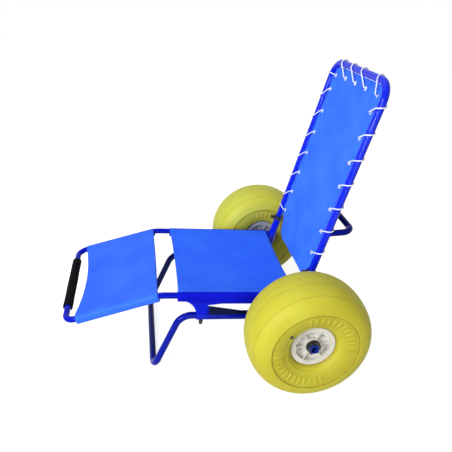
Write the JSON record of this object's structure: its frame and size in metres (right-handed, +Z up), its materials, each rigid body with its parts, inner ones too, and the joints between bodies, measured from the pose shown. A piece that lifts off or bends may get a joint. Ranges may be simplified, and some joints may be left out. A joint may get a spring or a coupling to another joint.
{
  "type": "beach wheelchair",
  "caption": "Low beach wheelchair with a blue tube frame, canvas seat and leg rest, laced lift-out backrest, plug-in front leg and yellow balloon wheels.",
  "frame": {"origin": "middle of the part's footprint on the floor", "axes": "the chair faces -Y, +X is the sitter's left, +Z is up"},
  "size_m": [0.9752, 1.1179, 0.9905],
  "materials": {
    "frame_paint": "gloss blue paint",
    "canvas": "woven blue canvas",
    "foam": "black closed-cell foam",
    "black_plastic": "black moulded",
    "zinc_steel": "zinc plated",
    "eyelet_metal": "pressed eyelets",
    "cord": "white braided cord",
    "balloon_tyre": "satin yellow",
    "hub_plastic": "white moulded"
  },
  "bodies": {
    "frame": {"seat_frame": "frame_paint", "front_grip": "foam", "lower_tube_left": "frame_paint", "lower_tube_right": "frame_paint", "tube_plugs": "black_plastic", "gusset_left": "frame_paint", "gusset_right": "frame_paint", "upright_left": "frame_paint", "upright_right": "frame_paint", "axle_tube": "frame_paint", "axle_stops": "zinc_steel", "back_lock_collar_left": "black_plastic", "back_lock_collar_right": "black_plastic", "leg_lock_bosses": "frame_paint", "leg_sling": "canvas", "seat_sling": "canvas"},
    "backrest": {"back_frame": "frame_paint", "rear_handle": "frame_paint", "back_sling": "canvas", "grommets": "eyelet_metal", "lacing_cord": "cord", "cord_knots": "cord"},
    "front_leg": {"front_leg": "frame_paint"},
    "wheel_left": {"tyre_left": "balloon_tyre", "hub_outer_left": "hub_plastic", "hub_inner_left": "hub_plastic", "hub_bolts_left": "zinc_steel", "hub_nuts_left": "zinc_steel", "wheel_bushes_left": "black_plastic", "valve_plug_left": "black_plastic"},
    "axle_nut_left": {"axle_nut_left": "black_plastic"},
    "back_lock_left": {"back_lock_left": "black_plastic"},
    "leg_lock_left": {"leg_lock_left": "black_plastic"},
    "wheel_right": {"tyre_right": "balloon_tyre", "hub_outer_right": "hub_plastic", "hub_inner_right": "hub_plastic", "hub_bolts_right": "zinc_steel", "hub_nuts_right": "zinc_steel", "wheel_bushes_right": "black_plastic", "valve_plug_right": "black_plastic"},
    "axle_nut_right": {"axle_nut_right": "black_plastic"},
    "back_lock_right": {"back_lock_right": "black_plastic"},
    "leg_lock_right": {"leg_lock_right": "black_plastic"}
  },
  "joints": [
    {"name": "backrest_lift", "type": "slide", "parent": "frame", "child": "backrest", "axis": [0, 0.342, 0.9397], "range_m": [0, 0.13]},
    {"name": "front_leg_slide", "type": "slide", "parent": "frame", "child": "front_leg", "axis": [0, -0.9877, 0.1564], "range_m": [0, 0.115]},
    {"name": "wheel_spin_left", "type": "hinge", "parent": "frame", "child": "wheel_left", "pos_m": [0.384, 0.24995, 0.21], "axis": [1, 0, 0], "continuous": true},
    {"name": "axle_nut_turn_left", "type": "hinge", "parent": "frame", "child": "axle_nut_left", "pos_m": [0.46, 0.24995, 0.21], "axis": [1, 0, 0], "range_deg": [0, 720]},
    {"name": "back_lock_turn_left", "type": "hinge", "parent": "frame", "child": "back_lock_left", "pos_m": [0.226, 0.31039, 0.33805], "axis": [0, -0.9397, 0.342], "range_deg": [0, 720]},
    {"name": "leg_lock_turn_left", "type": "hinge", "parent": "frame", "child": "leg_lock_left", "pos_m": [0.22, -0.0854, 0.21829], "axis": [0, -0.1564, -0.9877], "range_deg": [0, 720]},
    {"name": "wheel_spin_right", "type": "hinge", "parent": "frame", "child": "wheel_right", "pos_m": [-0.384, 0.24995, 0.21], "axis": [1, 0, 0], "continuous": true},
    {"name": "axle_nut_turn_right", "type": "hinge", "parent": "frame", "child": "axle_nut_right", "pos_m": [-0.46, 0.24995, 0.21], "axis": [-1, 0, 0], "range_deg": [0, 720]},
    {"name": "back_lock_turn_right", "type": "hinge", "parent": "frame", "child": "back_lock_right", "pos_m": [-0.226, 0.31039, 0.33805], "axis": [0, -0.9397, 0.342], "range_deg": [0, 720]},
    {"name": "leg_lock_turn_right", "type": "hinge", "parent": "frame", "child": "leg_lock_right", "pos_m": [-0.22, -0.0854, 0.21829], "axis": [0, -0.1564, -0.9877], "range_deg": [0, 720]}
  ]
}
